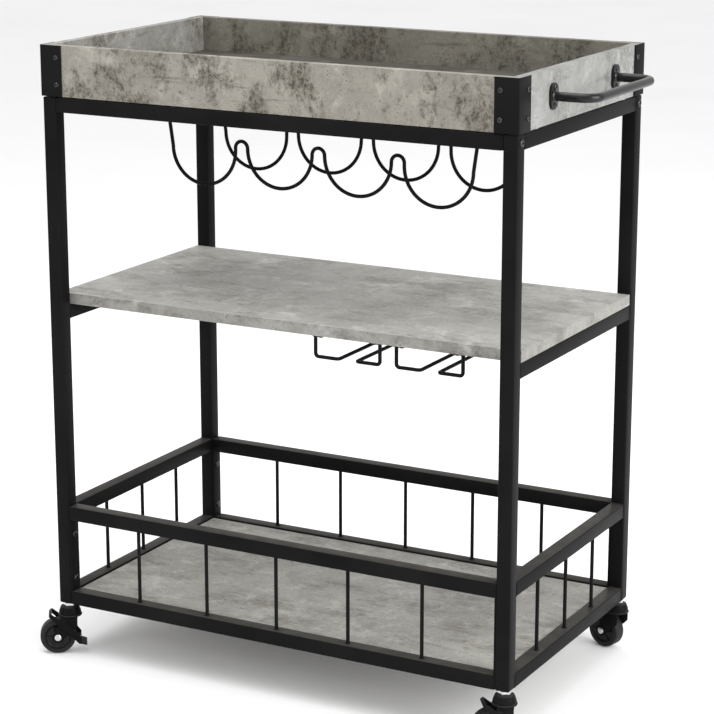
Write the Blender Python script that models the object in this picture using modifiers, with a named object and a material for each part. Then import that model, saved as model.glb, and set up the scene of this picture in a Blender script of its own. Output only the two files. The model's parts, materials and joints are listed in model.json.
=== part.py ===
"""Kitchen island cart: a square-tube frame on four swivel casters, with a lift-off tray on top, a wire wine
rack under the top frame, a middle shelf with two stemware slots, and a railed bottom shelf.

X runs along the cart, Y from front (-Y) to back, Z up. The origin is on the floor under the middle.
"""

import math

import bmesh
import bpy
from mathutils import Matrix, Vector

# Frame, in metres
LENGTH = 0.700
DEPTH = 0.400
CASTER_HEIGHT = 0.075
FRAME_TOP = 0.795
TUBE = 0.020
TUBE_WALL = 0.0012
TUBE_CORNER = 0.0016
GUARD_RAIL_Z = 0.200
MIDDLE_RAIL_Z = 0.487
GAP = 0.0003

# Sheet, wire and board stock
PLATE = 0.002
WIRE_RADIUS = 0.0025
WELD_DEPTH = 0.0007
SHELF_BOARD = 0.015
TRAY_BOARD = 0.012
BOARD_EDGE = 0.0006
SHELF_CLEARANCE = 0.0015
MIDDLE_SHELF_SCREW_Y = 0.090
BOTTOM_SHELF_DROP = 0.002

# Lower panels
END_PLATE_INSET = 0.0005
PANEL_WIRE_PITCH = 0.110
SIDE_WIRE_PITCH = 0.092
PANEL_SCREW_HEIGHTS = (0.113, 0.178)
SHELF_TAB_PLACES = (-0.270, 0.0, 0.270)
SHELF_TAB_WIDTH = 0.025
SHELF_TAB_REACH = 0.022

# Wine rack
BOTTLE_PITCH = 0.119
CRADLE_RADIUS = 0.050
CRADLE_CENTRE_DROP = 0.051
END_CRADLE_DROP = 0.004
RACK_ROW_Y = 0.069
LEG_FLARE = 0.008
STRAP_WIDTH = 0.018
STRAP_THICKNESS = 0.0025
STRAP_SCREW_DROP = 0.008

# Stemware rails
STEM_SLOT_CENTRES = (0.098, 0.217)
STEM_SLOT_HALF = 0.013
STEM_LEG_HALF = 0.0475
STEM_DROP = 0.030
STEM_FRONT_Y = -0.168
STEM_LENGTH = 0.230
STEM_BEND = 0.004
STEM_TAB_WIDTH = 0.012
STEM_TAB_LENGTH = 0.018
STEM_TAB_SETBACK = 0.008

# Tray
TRAY_BOTTOM = 0.7965
TRAY_TOP = 0.865
TRAY_FLOOR_LIFT = 0.008
PAD_RADIUS = 0.005
PAD_Y = 0.140
BRACKET_LEG = 0.032
BRACKET_SHEET = 0.0015
BRACKET_SCREW_INSET = 0.024
BRACKET_SCREW_HALF_SPACING = 0.018
HANDLE_ROD_RADIUS = 0.006
HANDLE_HALF_SPAN = 0.100
HANDLE_REACH = 0.056
HANDLE_BEND = 0.020
FLANGE_WIDTH = 0.022
FLANGE_HEIGHT = 0.034
FLANGE_THICKNESS = 0.0035
FLANGE_SCREW_OFFSET = 0.0115

# Casters
WHEEL_RADIUS = 0.025
WHEEL_WIDTH = 0.018
AXLE_RADIUS = 0.003
AXLE_HEAD_RADIUS = 0.0048
CASTER_TRAIL = 0.018
FORK_SHEET = 0.002
FORK_LEG_INNER = 0.0108
FORK_CROWN_Z = 0.0555
FORK_CROWN_RADIUS = 0.017
FORK_BOSS_RADIUS = 0.008
STEM_RADIUS = 0.004
STEM_REACH = 0.018
PLUG_HEIGHT = 0.022
FRONT_HEADING = math.radians(35.0)
REAR_HEADING = math.radians(-15.0)
BRAKE_PIVOT = (-0.009, 0.044)
BRAKE_STUD_RADIUS = 0.0025
BRAKE_BOSS_RADIUS = 0.006
BRAKE_SHEET = 0.0015

# Frame bolts, and the holes that the screws go through: radius, and depth below the screw's seat
BOLT_HEAD_RADIUS = 0.0052
BOLT_HEAD_HEIGHT = 0.0028
BOLT_SHANK_RADIUS = 0.0028
BOLT_LENGTH = 0.030
FRAME_SCREW_HOLE = (0.0025, 0.007)
SHELF_SCREW_HOLE = (0.0020, 0.010)
RAIL_SCREW_HOLE = (0.0022, 0.031)
TRAY_SCREW_HOLE = (0.0018, 0.010)

HALF_X = LENGTH / 2
HALF_Y = DEPTH / 2
POST_X = HALF_X - TUBE / 2
POST_Y = HALF_Y - TUBE / 2
TOP_RAIL_Z = FRAME_TOP - TUBE
SHELF_UNDERSIDE = MIDDLE_RAIL_Z + TUBE + GAP
BOTTOM_SHELF_Z = CASTER_HEIGHT + TUBE - BOTTOM_SHELF_DROP - SHELF_BOARD
TRAY_MIDDLE_Z = (TRAY_BOTTOM + TRAY_TOP) / 2
STRAP_X = 1.5 * BOTTLE_PITCH + CRADLE_RADIUS + LEG_FLARE
SIDES = ((-1, "left"), (1, "right"))
ROWS = ((-1, "front"), (1, "rear"))
CORNERS = (("front_left", -1, -1), ("front_right", 1, -1), ("rear_left", -1, 1), ("rear_right", 1, 1))

# Rotations that stand a flat outline's local Z along world X, keeping its local X along Y or along Z
OUTLINE_IN_YZ = Matrix(((0, 0, 1), (1, 0, 0), (0, 1, 0))).to_4x4()
OUTLINE_IN_XZ = Matrix(((1, 0, 0), (0, 0, -1), (0, 1, 0))).to_4x4()


# ---------------------------------------------------------------- scene and materials

def clear_scene():
    for obj in list(bpy.data.objects):
        bpy.data.objects.remove(obj, do_unlink=True)


def make_collection(name):
    collection = bpy.data.collections.new(name)
    bpy.context.scene.collection.children.link(collection)
    return collection


def make_material(name, color, roughness, metallic=0.0):
    material = bpy.data.materials.new(name)
    material.use_nodes = True
    shader = material.node_tree.nodes["Principled BSDF"]
    shader.inputs["Base Color"].default_value = (*color, 1.0)
    shader.inputs["Roughness"].default_value = roughness
    shader.inputs["Metallic"].default_value = metallic
    return material


clear_scene()
CART = make_collection("kitchen_island_cart")
CUTTERS = make_collection("cutters")

BLACK_STEEL = make_material("black_powder_coat", (0.018, 0.018, 0.020), 0.45, 0.2)
CONCRETE = make_material("concrete_laminate", (0.36, 0.36, 0.34), 0.60)
TREAD = make_material("caster_polymer", (0.030, 0.030, 0.032), 0.55)
ZINC = make_material("zinc", (0.62, 0.63, 0.64), 0.30, 1.0)
DARK_SCREW = make_material("black_zinc", (0.035, 0.035, 0.038), 0.30, 0.8)


# ---------------------------------------------------------------- building tools

def place(name, data, material, collection=CART):
    obj = bpy.data.objects.new(name, data)
    collection.objects.link(obj)
    obj.data.materials.append(material)
    return obj


def hide_cutter(obj):
    obj.hide_render = True
    obj.display_type = "WIRE"


def axis_matrix(axis):
    """Rotation that turns local +Z towards the given direction."""
    return Vector(axis).to_track_quat("Z", "Y").to_matrix().to_4x4()


def add_bevel(obj, width):
    bevel = obj.modifiers.new("edge_rounding", "BEVEL")
    bevel.width = width
    bevel.segments = 2
    bevel.limit_method = "ANGLE"
    bevel.angle_limit = math.radians(40)


def combine(obj, other, operation):
    boolean = obj.modifiers.new(operation.lower(), "BOOLEAN")
    boolean.object = other
    boolean.operation = operation
    boolean.solver = "EXACT"


def box(name, low, high, material, bevel=0.0, collection=CART):
    low, high = Vector(low), Vector(high)
    mesh = bpy.data.meshes.new(name)
    bm = bmesh.new()
    bmesh.ops.create_cube(bm, size=1.0)
    bmesh.ops.scale(bm, vec=high - low, verts=bm.verts)
    bm.to_mesh(mesh)
    bm.free()
    obj = place(name, mesh, material, collection)
    obj.location = (low + high) / 2
    if bevel:
        add_bevel(obj, bevel)
    return obj


def square_tube(name, start, end, capped=False):
    """Hollow square tube from start to end, open at both ends or closed at its end point."""
    start, end = Vector(start), Vector(end)
    mesh = bpy.data.meshes.new(name)
    bm = bmesh.new()
    bmesh.ops.create_cube(bm, size=1.0)
    bmesh.ops.scale(bm, vec=(TUBE, TUBE, (end - start).length), verts=bm.verts)
    opened = [f for f in bm.faces if f.normal.z < -0.5 or (f.normal.z > 0.5 and not capped)]
    bmesh.ops.delete(bm, geom=opened, context="FACES_ONLY")
    bm.to_mesh(mesh)
    bm.free()
    obj = place(name, mesh, BLACK_STEEL)
    obj.matrix_world = Matrix.Translation((start + end) / 2) @ axis_matrix(end - start)
    add_bevel(obj, TUBE_CORNER)
    wall = obj.modifiers.new("wall", "SOLIDIFY")
    wall.thickness = TUBE_WALL
    wall.offset = -1.0
    wall.use_even_offset = True
    return obj


def turned(name, profile, material, steps, ring=False):
    """Body of revolution about local Z from (radius, height) points, listed top to bottom outside."""
    mesh = bpy.data.meshes.new(name)
    bm = bmesh.new()
    verts = [bm.verts.new((radius, 0.0, height)) for radius, height in profile]
    for a, b in zip(verts, verts[1:] + (verts[:1] if ring else [])):
        bm.edges.new((a, b))
    bm.to_mesh(mesh)
    bm.free()
    obj = place(name, mesh, material)
    spin = obj.modifiers.new("turning", "SCREW")
    spin.axis = "Z"
    spin.steps = steps
    spin.render_steps = steps
    spin.use_merge_vertices = True
    spin.merge_threshold = 0.00001
    return obj


def flat_plate(name, outlines, thickness, matrix, material=BLACK_STEEL):
    """Sheet piece: the first outline is its edge, the others are holes; its thickness is centred."""
    curve = bpy.data.curves.new(name, "CURVE")
    curve.dimensions = "2D"
    curve.fill_mode = "BOTH"
    curve.extrude = thickness / 2
    for outline in outlines:
        spline = curve.splines.new("POLY")
        spline.points.add(len(outline) - 1)
        for point, (x, y) in zip(spline.points, outline):
            point.co = (x, y, 0.0, 1.0)
        spline.use_cyclic_u = True
    obj = place(name, curve, material)
    obj.matrix_world = matrix
    return obj


def rod(name, points, radius, resolution=1):
    curve = bpy.data.curves.new(name, "CURVE")
    curve.dimensions = "3D"
    curve.bevel_depth = radius
    curve.bevel_resolution = resolution
    curve.use_fill_caps = True
    spline = curve.splines.new("POLY")
    spline.points.add(len(points) - 1)
    for point, position in zip(spline.points, points):
        point.co = (*position, 1.0)
    return place(name, curve, BLACK_STEEL)


def as_mesh(source, name=None, collection=CART):
    """Plain mesh object with the source's finished shape and its seams welded, in the source's place."""
    bpy.context.view_layer.update()
    mesh = bpy.data.meshes.new_from_object(source.evaluated_get(bpy.context.evaluated_depsgraph_get()))
    bm = bmesh.new()
    bm.from_mesh(mesh)
    bmesh.ops.remove_doubles(bm, verts=bm.verts, dist=0.00001)
    bm.to_mesh(mesh)
    bm.free()
    name = name or source.name
    matrix = source.matrix_world.copy()
    material = source.data.materials[0]
    bpy.data.objects.remove(source, do_unlink=True)
    mesh.materials.clear()
    obj = place(name, mesh, material, collection)
    obj.matrix_world = matrix
    mesh.shade_smooth()
    mesh.set_sharp_from_angle(angle=math.radians(35))
    return obj


def fuse(name, solids, parent=None):
    """One welded piece: the first solid with the others joined to it where they overlap."""
    body = as_mesh(solids[0], name)
    body.parent = parent
    for number, solid in enumerate(solids[1:], 1):
        part = as_mesh(solid, f"{name}_joined_{number}", CUTTERS)
        part.parent = parent
        hide_cutter(part)
        combine(body, part, "UNION")
    return body


def hole_cutter(name, holes, sides=8):
    """Cutter of round holes, each given as centre, axis, radius and length."""
    mesh = bpy.data.meshes.new(name)
    bm = bmesh.new()
    for centre, axis, radius, length in holes:
        matrix = Matrix.Translation(centre) @ axis_matrix(axis)
        bmesh.ops.create_cone(bm, cap_ends=True, segments=sides, radius1=radius, radius2=radius,
                              depth=length, matrix=matrix)
    bm.to_mesh(mesh)
    bm.free()
    obj = place(name, mesh, BLACK_STEEL, CUTTERS)
    hide_cutter(obj)
    return obj


def holes_at(seats, hole):
    """Holes below the seats of screws, given as the seat's point and the way the screw's head faces."""
    radius, depth = hole
    return [(point - axis * (depth / 2 - GAP), axis, radius, depth + 2 * GAP) for point, axis in seats]


def circle(centre, radius, count=12):
    angles = [2 * math.pi * i / count for i in range(count)]
    return [(centre[0] + radius * math.cos(a), centre[1] + radius * math.sin(a)) for a in angles]


def arc(centre, radius, start, end, count):
    """Points along an arc, from the start angle to the end angle in degrees."""
    angles = [math.radians(start + (end - start) * i / count) for i in range(count + 1)]
    return [(centre[0] + radius * math.cos(a), centre[1] + radius * math.sin(a)) for a in angles]


def rectangle(x, y):
    """Outline of the rectangle between two X values and two Y values."""
    return [(x[0], y[0]), (x[1], y[0]), (x[1], y[1]), (x[0], y[1])]


def bent_path(corners, radius, steps):
    """Route through the corners, each inner corner rounded to the bend radius."""
    corners = [Vector(c) for c in corners]
    path = [corners[0]]
    for before, corner, after in zip(corners, corners[1:], corners[2:]):
        u, v = (before - corner).normalized(), (after - corner).normalized()
        half = u.angle(v) / 2
        setback = radius / math.tan(half)
        centre = corner + (u + v).normalized() * (radius / math.sin(half))
        first, last = corner + u * setback - centre, corner + v * setback - centre
        turn = first.angle(last)
        for i in range(steps + 1):
            part = turn * i / steps
            path.append(centre + (first * math.sin(turn - part) + last * math.sin(part)) / math.sin(turn))
    return path + [corners[-1]]


# ---------------------------------------------------------------- where the screws sit

def top_bolt_seats():
    """Bolts through the posts' outer faces into the ends of the front and rear top rails, by corner."""
    return {name: (Vector((sx * HALF_X, sy * POST_Y, TOP_RAIL_Z + TUBE / 2)), Vector((sx, 0, 0)))
            for name, sx, sy in CORNERS}


def panel_screw_seats():
    """Screws through the lower panels' end plates into the posts' inner faces."""
    face = HALF_X - TUBE - GAP - PLATE
    return [(Vector((sx * face, sy * POST_Y, z)), Vector((-sx, 0, 0)))
            for sx, _ in SIDES for sy, _ in ROWS for z in PANEL_SCREW_HEIGHTS]


def strap_screw_seats():
    """Screws through the straps' turned-up ends into the front and rear top rails."""
    face = HALF_Y - TUBE - GAP - STRAP_THICKNESS
    return [(Vector((sx * STRAP_X, sy * face, FRAME_TOP - STRAP_SCREW_DROP)), Vector((0, -sy, 0)))
            for sx, _ in SIDES for sy, _ in ROWS]


def middle_shelf_screw_seats():
    """Long screws up through the middle cross rails into the shelf."""
    return [(Vector((sx * POST_X, sy * MIDDLE_SHELF_SCREW_Y, MIDDLE_RAIL_Z)), Vector((0, 0, -1)))
            for sx, _ in SIDES for sy, _ in ROWS]


def stem_tab_x(slot_centre, side):
    return slot_centre + side * (STEM_LEG_HALF - STEM_TAB_SETBACK)


def stem_tab_rows():
    return (STEM_FRONT_Y, STEM_FRONT_Y + STEM_LENGTH)


def stem_screw_seats():
    seat_z = SHELF_UNDERSIDE - GAP - PLATE
    return [(Vector((stem_tab_x(centre, side), y, seat_z)), Vector((0, 0, -1)))
            for centre in STEM_SLOT_CENTRES for side, _ in SIDES for y in stem_tab_rows()]


def bottom_screw_seats():
    """Screws through the front and rear panels' tabs up into the bottom shelf."""
    y = HALF_Y - TUBE - SHELF_TAB_REACH / 2
    seat_z = BOTTOM_SHELF_Z - GAP - PLATE
    return [(Vector((x, sy * y, seat_z)), Vector((0, 0, -1))) for x in SHELF_TAB_PLACES for sy, _ in ROWS]


def bracket_screw_seats():
    """Screws through both legs of the tray's corner brackets."""
    seats = []
    for _, sx, sy in CORNERS:
        for up in (-1, 1):
            z = TRAY_MIDDLE_Z + up * BRACKET_SCREW_HALF_SPACING
            along_x = Vector((sx * (HALF_X - BRACKET_SCREW_INSET), sy * (HALF_Y + GAP + BRACKET_SHEET), z))
            along_y = Vector((sx * (HALF_X + GAP + BRACKET_SHEET), sy * (HALF_Y - BRACKET_SCREW_INSET), z))
            seats += [(along_x, Vector((0, sy, 0))), (along_y, Vector((sx, 0, 0)))]
    return seats


def handle_screw_seats():
    face = HALF_X + GAP + FLANGE_THICKNESS
    return [(Vector((sx * face, sy * HANDLE_HALF_SPAN, TRAY_MIDDLE_Z + up * FLANGE_SCREW_OFFSET)),
             Vector((sx, 0, 0))) for sx, _ in SIDES for sy, _ in ROWS for up in (-1, 1)]


# ---------------------------------------------------------------- frame

def make_posts():
    bolt_hole = (BOLT_SHANK_RADIUS + GAP, BOLT_LENGTH)
    holes = holes_at(top_bolt_seats().values(), bolt_hole) + holes_at(panel_screw_seats(), FRAME_SCREW_HOLE)
    cutter = hole_cutter("post_holes", holes)
    for name, sx, sy in CORNERS:
        foot = (sx * POST_X, sy * POST_Y, CASTER_HEIGHT)
        head = (sx * POST_X, sy * POST_Y, FRAME_TOP)
        combine(square_tube("post_" + name, foot, head, capped=True), cutter, "DIFFERENCE")


def make_cross_rails():
    """Front-to-back rails between each side's two posts, with three wires under the guard rail."""
    levels = (("bottom", CASTER_HEIGHT), ("guard", GUARD_RAIL_Z), ("middle", MIDDLE_RAIL_Z),
              ("top", TOP_RAIL_Z))
    reach = HALF_Y - TUBE - GAP
    cutter = hole_cutter("cross_rail_holes", holes_at(middle_shelf_screw_seats(), RAIL_SCREW_HOLE))
    for sx, side in SIDES:
        for level, low in levels:
            name = f"{side}_{level}_cross_rail"
            z = low + TUBE / 2
            rail = square_tube(name, (sx * POST_X, -reach, z), (sx * POST_X, reach, z))
            if level == "middle":
                combine(rail, cutter, "DIFFERENCE")
            if level == "guard":
                foot, head = CASTER_HEIGHT + TUBE + GAP, GUARD_RAIL_Z + WELD_DEPTH
                wires = [rod("side_wire", [(sx * POST_X, i * SIDE_WIRE_PITCH, foot),
                                           (sx * POST_X, i * SIDE_WIRE_PITCH, head)], WIRE_RADIUS)
                         for i in (-1, 0, 1)]
                fuse(name, [rail] + wires)


def make_top_rails():
    """Bolted front and rear top rails: tubes closed by drilled end plates."""
    reach = HALF_X - TUBE - GAP
    hollow = TUBE / 2 - TUBE_WALL
    z = TOP_RAIL_Z + TUBE / 2
    bolt_way = [(Vector((0, sy * POST_Y, z)), Vector((1, 0, 0)), BOLT_SHANK_RADIUS + GAP, LENGTH)
                for sy, _ in ROWS]
    cutter = hole_cutter("top_rail_holes", holes_at(strap_screw_seats(), FRAME_SCREW_HOLE) + bolt_way)
    for sy, row in ROWS:
        y = sy * POST_Y
        rail = box(f"{row}_top_rail", (-reach, y - TUBE / 2, TOP_RAIL_Z), (reach, y + TUBE / 2, FRAME_TOP),
                   BLACK_STEEL, TUBE_CORNER)
        inside = box(f"{row}_top_rail_inside", (PLATE - reach, y - hollow, z - hollow),
                     (reach - PLATE, y + hollow, z + hollow), BLACK_STEEL, collection=CUTTERS)
        hide_cutter(inside)
        combine(rail, inside, "DIFFERENCE")
        combine(rail, cutter, "DIFFERENCE")


def end_plate(sx):
    """Upright plate at the end of a lower panel, with vents into its rails and two screw holes."""
    inset = TUBE / 2 - END_PLATE_INSET
    ends = (CASTER_HEIGHT + END_PLATE_INSET, GUARD_RAIL_Z + TUBE - END_PLATE_INSET)
    outline = rectangle((-inset, inset), ends)
    vents = [circle((0.0, z + TUBE / 2), 0.004) for z in (CASTER_HEIGHT, GUARD_RAIL_Z)]
    screws = [circle((0.0, z), FRAME_SCREW_HOLE[0], 8) for z in PANEL_SCREW_HEIGHTS]
    centre = (sx * (HALF_X - TUBE - GAP - PLATE / 2), -POST_Y, 0)
    matrix = Matrix.Translation(centre) @ OUTLINE_IN_YZ
    return flat_plate("end_plate", [outline] + vents + screws, PLATE, matrix)


def shelf_tab(x):
    """Tab under the bottom shelf, with its outer edge in the wall of the panel's bottom rail."""
    far = HALF_Y - TUBE + WELD_DEPTH
    middle = HALF_Y - TUBE - SHELF_TAB_REACH / 2
    outline = rectangle((-SHELF_TAB_WIDTH / 2, SHELF_TAB_WIDTH / 2), (-far, SHELF_TAB_REACH - far))
    centre = (x, 0, BOTTOM_SHELF_Z - GAP - PLATE / 2)
    return flat_plate("shelf_tab", [outline, circle((0, -middle), SHELF_SCREW_HOLE[0], 8)], PLATE,
                      Matrix.Translation(centre))


def make_lower_panels():
    """Front and rear panels, alike: two rails, five wires and three shelf tabs welded between end plates."""
    reach = HALF_X - TUBE - GAP - PLATE + WELD_DEPTH
    foot, head = CASTER_HEIGHT + TUBE - WELD_DEPTH, GUARD_RAIL_Z + WELD_DEPTH
    pieces = [square_tube("panel_rail", (-reach, -POST_Y, z + TUBE / 2), (reach, -POST_Y, z + TUBE / 2))
              for z in (CASTER_HEIGHT, GUARD_RAIL_Z)]
    pieces += [end_plate(sx) for sx, _ in SIDES]
    pieces += [rod("panel_wire", [(x, -POST_Y, foot), (x, -POST_Y, head)], WIRE_RADIUS)
               for x in (i * PANEL_WIRE_PITCH for i in range(-2, 3))]
    pieces += [shelf_tab(x) for x in SHELF_TAB_PLACES]
    front = as_mesh(fuse("front_lower_panel", pieces))
    rear = bpy.data.objects.new("rear_lower_panel", front.data)
    CART.objects.link(rear)
    rear.matrix_world = Matrix.Rotation(math.pi, 4, "Z") @ front.matrix_world


def make_frame_bolts():
    head, top, shank = BOLT_HEAD_RADIUS, BOLT_HEAD_HEIGHT, BOLT_SHANK_RADIUS
    profile = [(0.0, top), (head * 0.55, top * 0.9), (head * 0.92, top * 0.5), (head, GAP),
               (shank, GAP), (shank, -BOLT_LENGTH), (0.0, -BOLT_LENGTH)]
    for name, (point, axis) in top_bolt_seats().items():
        bolt = turned("top_rail_bolt_" + name, profile, DARK_SCREW, 12)
        bolt.matrix_world = Matrix.Translation(point) @ axis_matrix(axis)


# ---------------------------------------------------------------- wine rack

def cradle_route():
    """Route of one rack wire in the X-Z plane: four cradles joined by three narrow loops."""
    centre_z = TOP_RAIL_Z - CRADLE_CENTRE_DROP
    top_z = TOP_RAIL_Z + GAP
    loop_radius = BOTTLE_PITCH / 2 - CRADLE_RADIUS
    route = [(-STRAP_X, top_z)]
    for i in range(4):
        x = (i - 1.5) * BOTTLE_PITCH
        z = centre_z - (END_CRADLE_DROP if i in (0, 3) else 0.0)
        route += arc((x, z), CRADLE_RADIUS, 180, 360, 9)
        if i < 3:
            route += arc((x + BOTTLE_PITCH / 2, centre_z), loop_radius, 175, 5, 4)
    return route + [(STRAP_X, top_z)]


def make_wine_rack():
    for sy, row in ROWS:
        points = [(x, sy * RACK_ROW_Y, z) for x, z in cradle_route()]
        rod(f"wine_rack_{row}_wire", points, WIRE_RADIUS)
    low, high = TOP_RAIL_Z + 2 * GAP, FRAME_TOP - 0.002
    reach = HALF_Y - TUBE - GAP
    t = STRAP_THICKNESS
    section = [(-reach, high), (-reach, low), (reach, low), (reach, high), (reach - t, high),
               (reach - t, low + t), (t - reach, low + t), (t - reach, high)]
    cutter = hole_cutter("strap_holes", holes_at(strap_screw_seats(), FRAME_SCREW_HOLE))
    for sx, side in SIDES:
        matrix = Matrix.Translation((sx * STRAP_X, 0, 0)) @ OUTLINE_IN_YZ
        strap = flat_plate("strap", [section], STRAP_WIDTH, matrix)
        combine(as_mesh(strap, f"wine_rack_{side}_strap"), cutter, "DIFFERENCE")


# ---------------------------------------------------------------- shelves and stemware rails

def make_middle_shelf():
    reach_y = HALF_Y - TUBE - SHELF_CLEARANCE
    shelf = box("middle_shelf", (GAP - HALF_X, -reach_y, SHELF_UNDERSIDE),
                (HALF_X - GAP, reach_y, SHELF_UNDERSIDE + SHELF_BOARD), CONCRETE, BOARD_EDGE)
    holes = holes_at(middle_shelf_screw_seats(), RAIL_SCREW_HOLE)
    holes += holes_at(stem_screw_seats(), SHELF_SCREW_HOLE)
    combine(shelf, hole_cutter("middle_shelf_holes", holes), "DIFFERENCE")


def make_bottom_shelf():
    reach_x = HALF_X - TUBE - SHELF_CLEARANCE
    reach_y = HALF_Y - TUBE - SHELF_CLEARANCE
    shelf = box("bottom_shelf", (-reach_x, -reach_y, BOTTOM_SHELF_Z),
                (reach_x, reach_y, BOTTOM_SHELF_Z + SHELF_BOARD), CONCRETE, BOARD_EDGE)
    cutter = hole_cutter("bottom_shelf_holes", holes_at(bottom_screw_seats(), SHELF_SCREW_HOLE))
    combine(shelf, cutter, "DIFFERENCE")


def stem_tab(x, y, side):
    """Screwed tab under the shelf that runs out over the end of a stemware rail."""
    centre = (x, y, SHELF_UNDERSIDE - GAP - PLATE / 2)
    inner = -STEM_TAB_WIDTH / 2
    width = sorted((side * inner, side * (inner + STEM_TAB_LENGTH)))
    outline = rectangle(width, (-STEM_TAB_WIDTH / 2, STEM_TAB_WIDTH / 2))
    hole = circle((0, 0), SHELF_SCREW_HOLE[0], 8)
    return flat_plate("stem_tab", [outline, hole], PLATE, Matrix.Translation(centre))


def make_stemware_rails():
    """Two slots, each between a pair of bent wires hung from screwed tabs under the middle shelf."""
    top = SHELF_UNDERSIDE - GAP - PLATE + WELD_DEPTH
    low = SHELF_UNDERSIDE - STEM_DROP
    front, back = stem_tab_rows()
    for centre, slot in zip(STEM_SLOT_CENTRES, ("inner_slot", "outer_slot")):
        for side, hand in SIDES:
            leg = centre + side * STEM_LEG_HALF
            rail = centre + side * STEM_SLOT_HALF
            corners = [(leg, front, top), (leg, front, low), (rail, front, low),
                       (rail, back, low), (leg, back, low), (leg, back, top)]
            wire = rod("stem_wire", bent_path(corners, STEM_BEND, 2), WIRE_RADIUS)
            tabs = [stem_tab(stem_tab_x(centre, side), y, side) for y in stem_tab_rows()]
            fuse(f"stemware_{slot}_{hand}_rail", [wire] + tabs)


# ---------------------------------------------------------------- tray

def tray_pad(sx, sy):
    """Low round foot under a tray end board, reaching down to the top cross rail."""
    low, high = FRAME_TOP + GAP, TRAY_BOTTOM + BOARD_EDGE * 3
    profile = [(0.0, high), (PAD_RADIUS, high), (PAD_RADIUS, low), (0.0, low)]
    pad = turned("pad", profile, CONCRETE, 12)
    pad.location = (sx * (HALF_X - TRAY_BOARD / 2), sy * PAD_Y, 0)
    return pad


def make_tray_boards():
    inner_x, inner_y = HALF_X - TRAY_BOARD, HALF_Y - TRAY_BOARD
    holes = holes_at(bracket_screw_seats(), TRAY_SCREW_HOLE) + holes_at(handle_screw_seats(), TRAY_SCREW_HOLE)
    cutter = hole_cutter("tray_board_holes", holes, 6)
    for sy, row in ROWS:
        near, far = sorted((sy * inner_y, sy * HALF_Y))
        board = box(f"tray_{row}_board", (-HALF_X, near, TRAY_BOTTOM), (HALF_X, far, TRAY_TOP), CONCRETE,
                    BOARD_EDGE)
        combine(board, cutter, "DIFFERENCE")
    for sx, side in SIDES:
        near, far = sorted((sx * inner_x, sx * HALF_X))
        board = box("end_board", (near, GAP - inner_y, TRAY_BOTTOM), (far, inner_y - GAP, TRAY_TOP),
                    CONCRETE, BOARD_EDGE)
        joined = fuse(f"tray_{side}_board", [board] + [tray_pad(sx, sy) for sy, _ in ROWS])
        combine(joined, cutter, "DIFFERENCE")
    low = TRAY_BOTTOM + TRAY_FLOOR_LIFT
    box("tray_floor", (GAP - inner_x, GAP - inner_y, low),
        (inner_x - GAP, inner_y - GAP, low + TRAY_BOARD), CONCRETE)


def bracket_outline(sx, sy):
    """Section of a corner bracket seen from above: two legs joined by a small round bend."""
    face_x, face_y = HALF_X + GAP, HALF_Y + GAP
    out, radius = BRACKET_SHEET, 0.002
    points = [(face_x, HALF_Y - BRACKET_LEG), (face_x + out, HALF_Y - BRACKET_LEG)]
    points += arc((face_x + out - radius, face_y + out - radius), radius, 0, 90, 3)
    points += [(HALF_X - BRACKET_LEG, face_y + out), (HALF_X - BRACKET_LEG, face_y), (face_x, face_y)]
    return [(sx * x, sy * y) for x, y in points]


def make_tray_brackets():
    cutter = hole_cutter("bracket_holes", holes_at(bracket_screw_seats(), TRAY_SCREW_HOLE), 6)
    for name, sx, sy in CORNERS:
        middle = Matrix.Translation((0, 0, TRAY_MIDDLE_Z))
        plate = flat_plate("bracket", [bracket_outline(sx, sy)], TRAY_TOP - TRAY_BOTTOM, middle)
        combine(as_mesh(plate, "tray_bracket_" + name), cutter, "DIFFERENCE")


def stadium(width, height, count):
    """Upright outline with round ends."""
    radius = width / 2
    rise = height / 2 - radius
    return arc((0, rise), radius, 0, 180, count) + arc((0, -rise), radius, 180, 360, count)


def make_handles():
    """Round-bar handle welded to two oval flanges on each end of the tray."""
    outlines = [stadium(FLANGE_WIDTH, FLANGE_HEIGHT, 8)]
    outlines += [circle((0, up * FLANGE_SCREW_OFFSET), TRAY_SCREW_HOLE[0], 8) for up in (-1, 1)]
    for sx, side in SIDES:
        root = sx * (HALF_X + GAP + FLANGE_THICKNESS / 2)
        grip = sx * (HALF_X + HANDLE_REACH)
        near, far = -HANDLE_HALF_SPAN, HANDLE_HALF_SPAN
        z = TRAY_MIDDLE_Z
        corners = [(root, near, z), (grip, near, z), (grip, far, z), (root, far, z)]
        pieces = [rod("bar", bent_path(corners, HANDLE_BEND, 5), HANDLE_ROD_RADIUS, resolution=3)]
        pieces += [flat_plate("flange", outlines, FLANGE_THICKNESS,
                              Matrix.Translation((root, y, z)) @ OUTLINE_IN_YZ) for y in (near, far)]
        fuse(f"tray_{side}_handle", pieces)


# ---------------------------------------------------------------- casters

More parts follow.
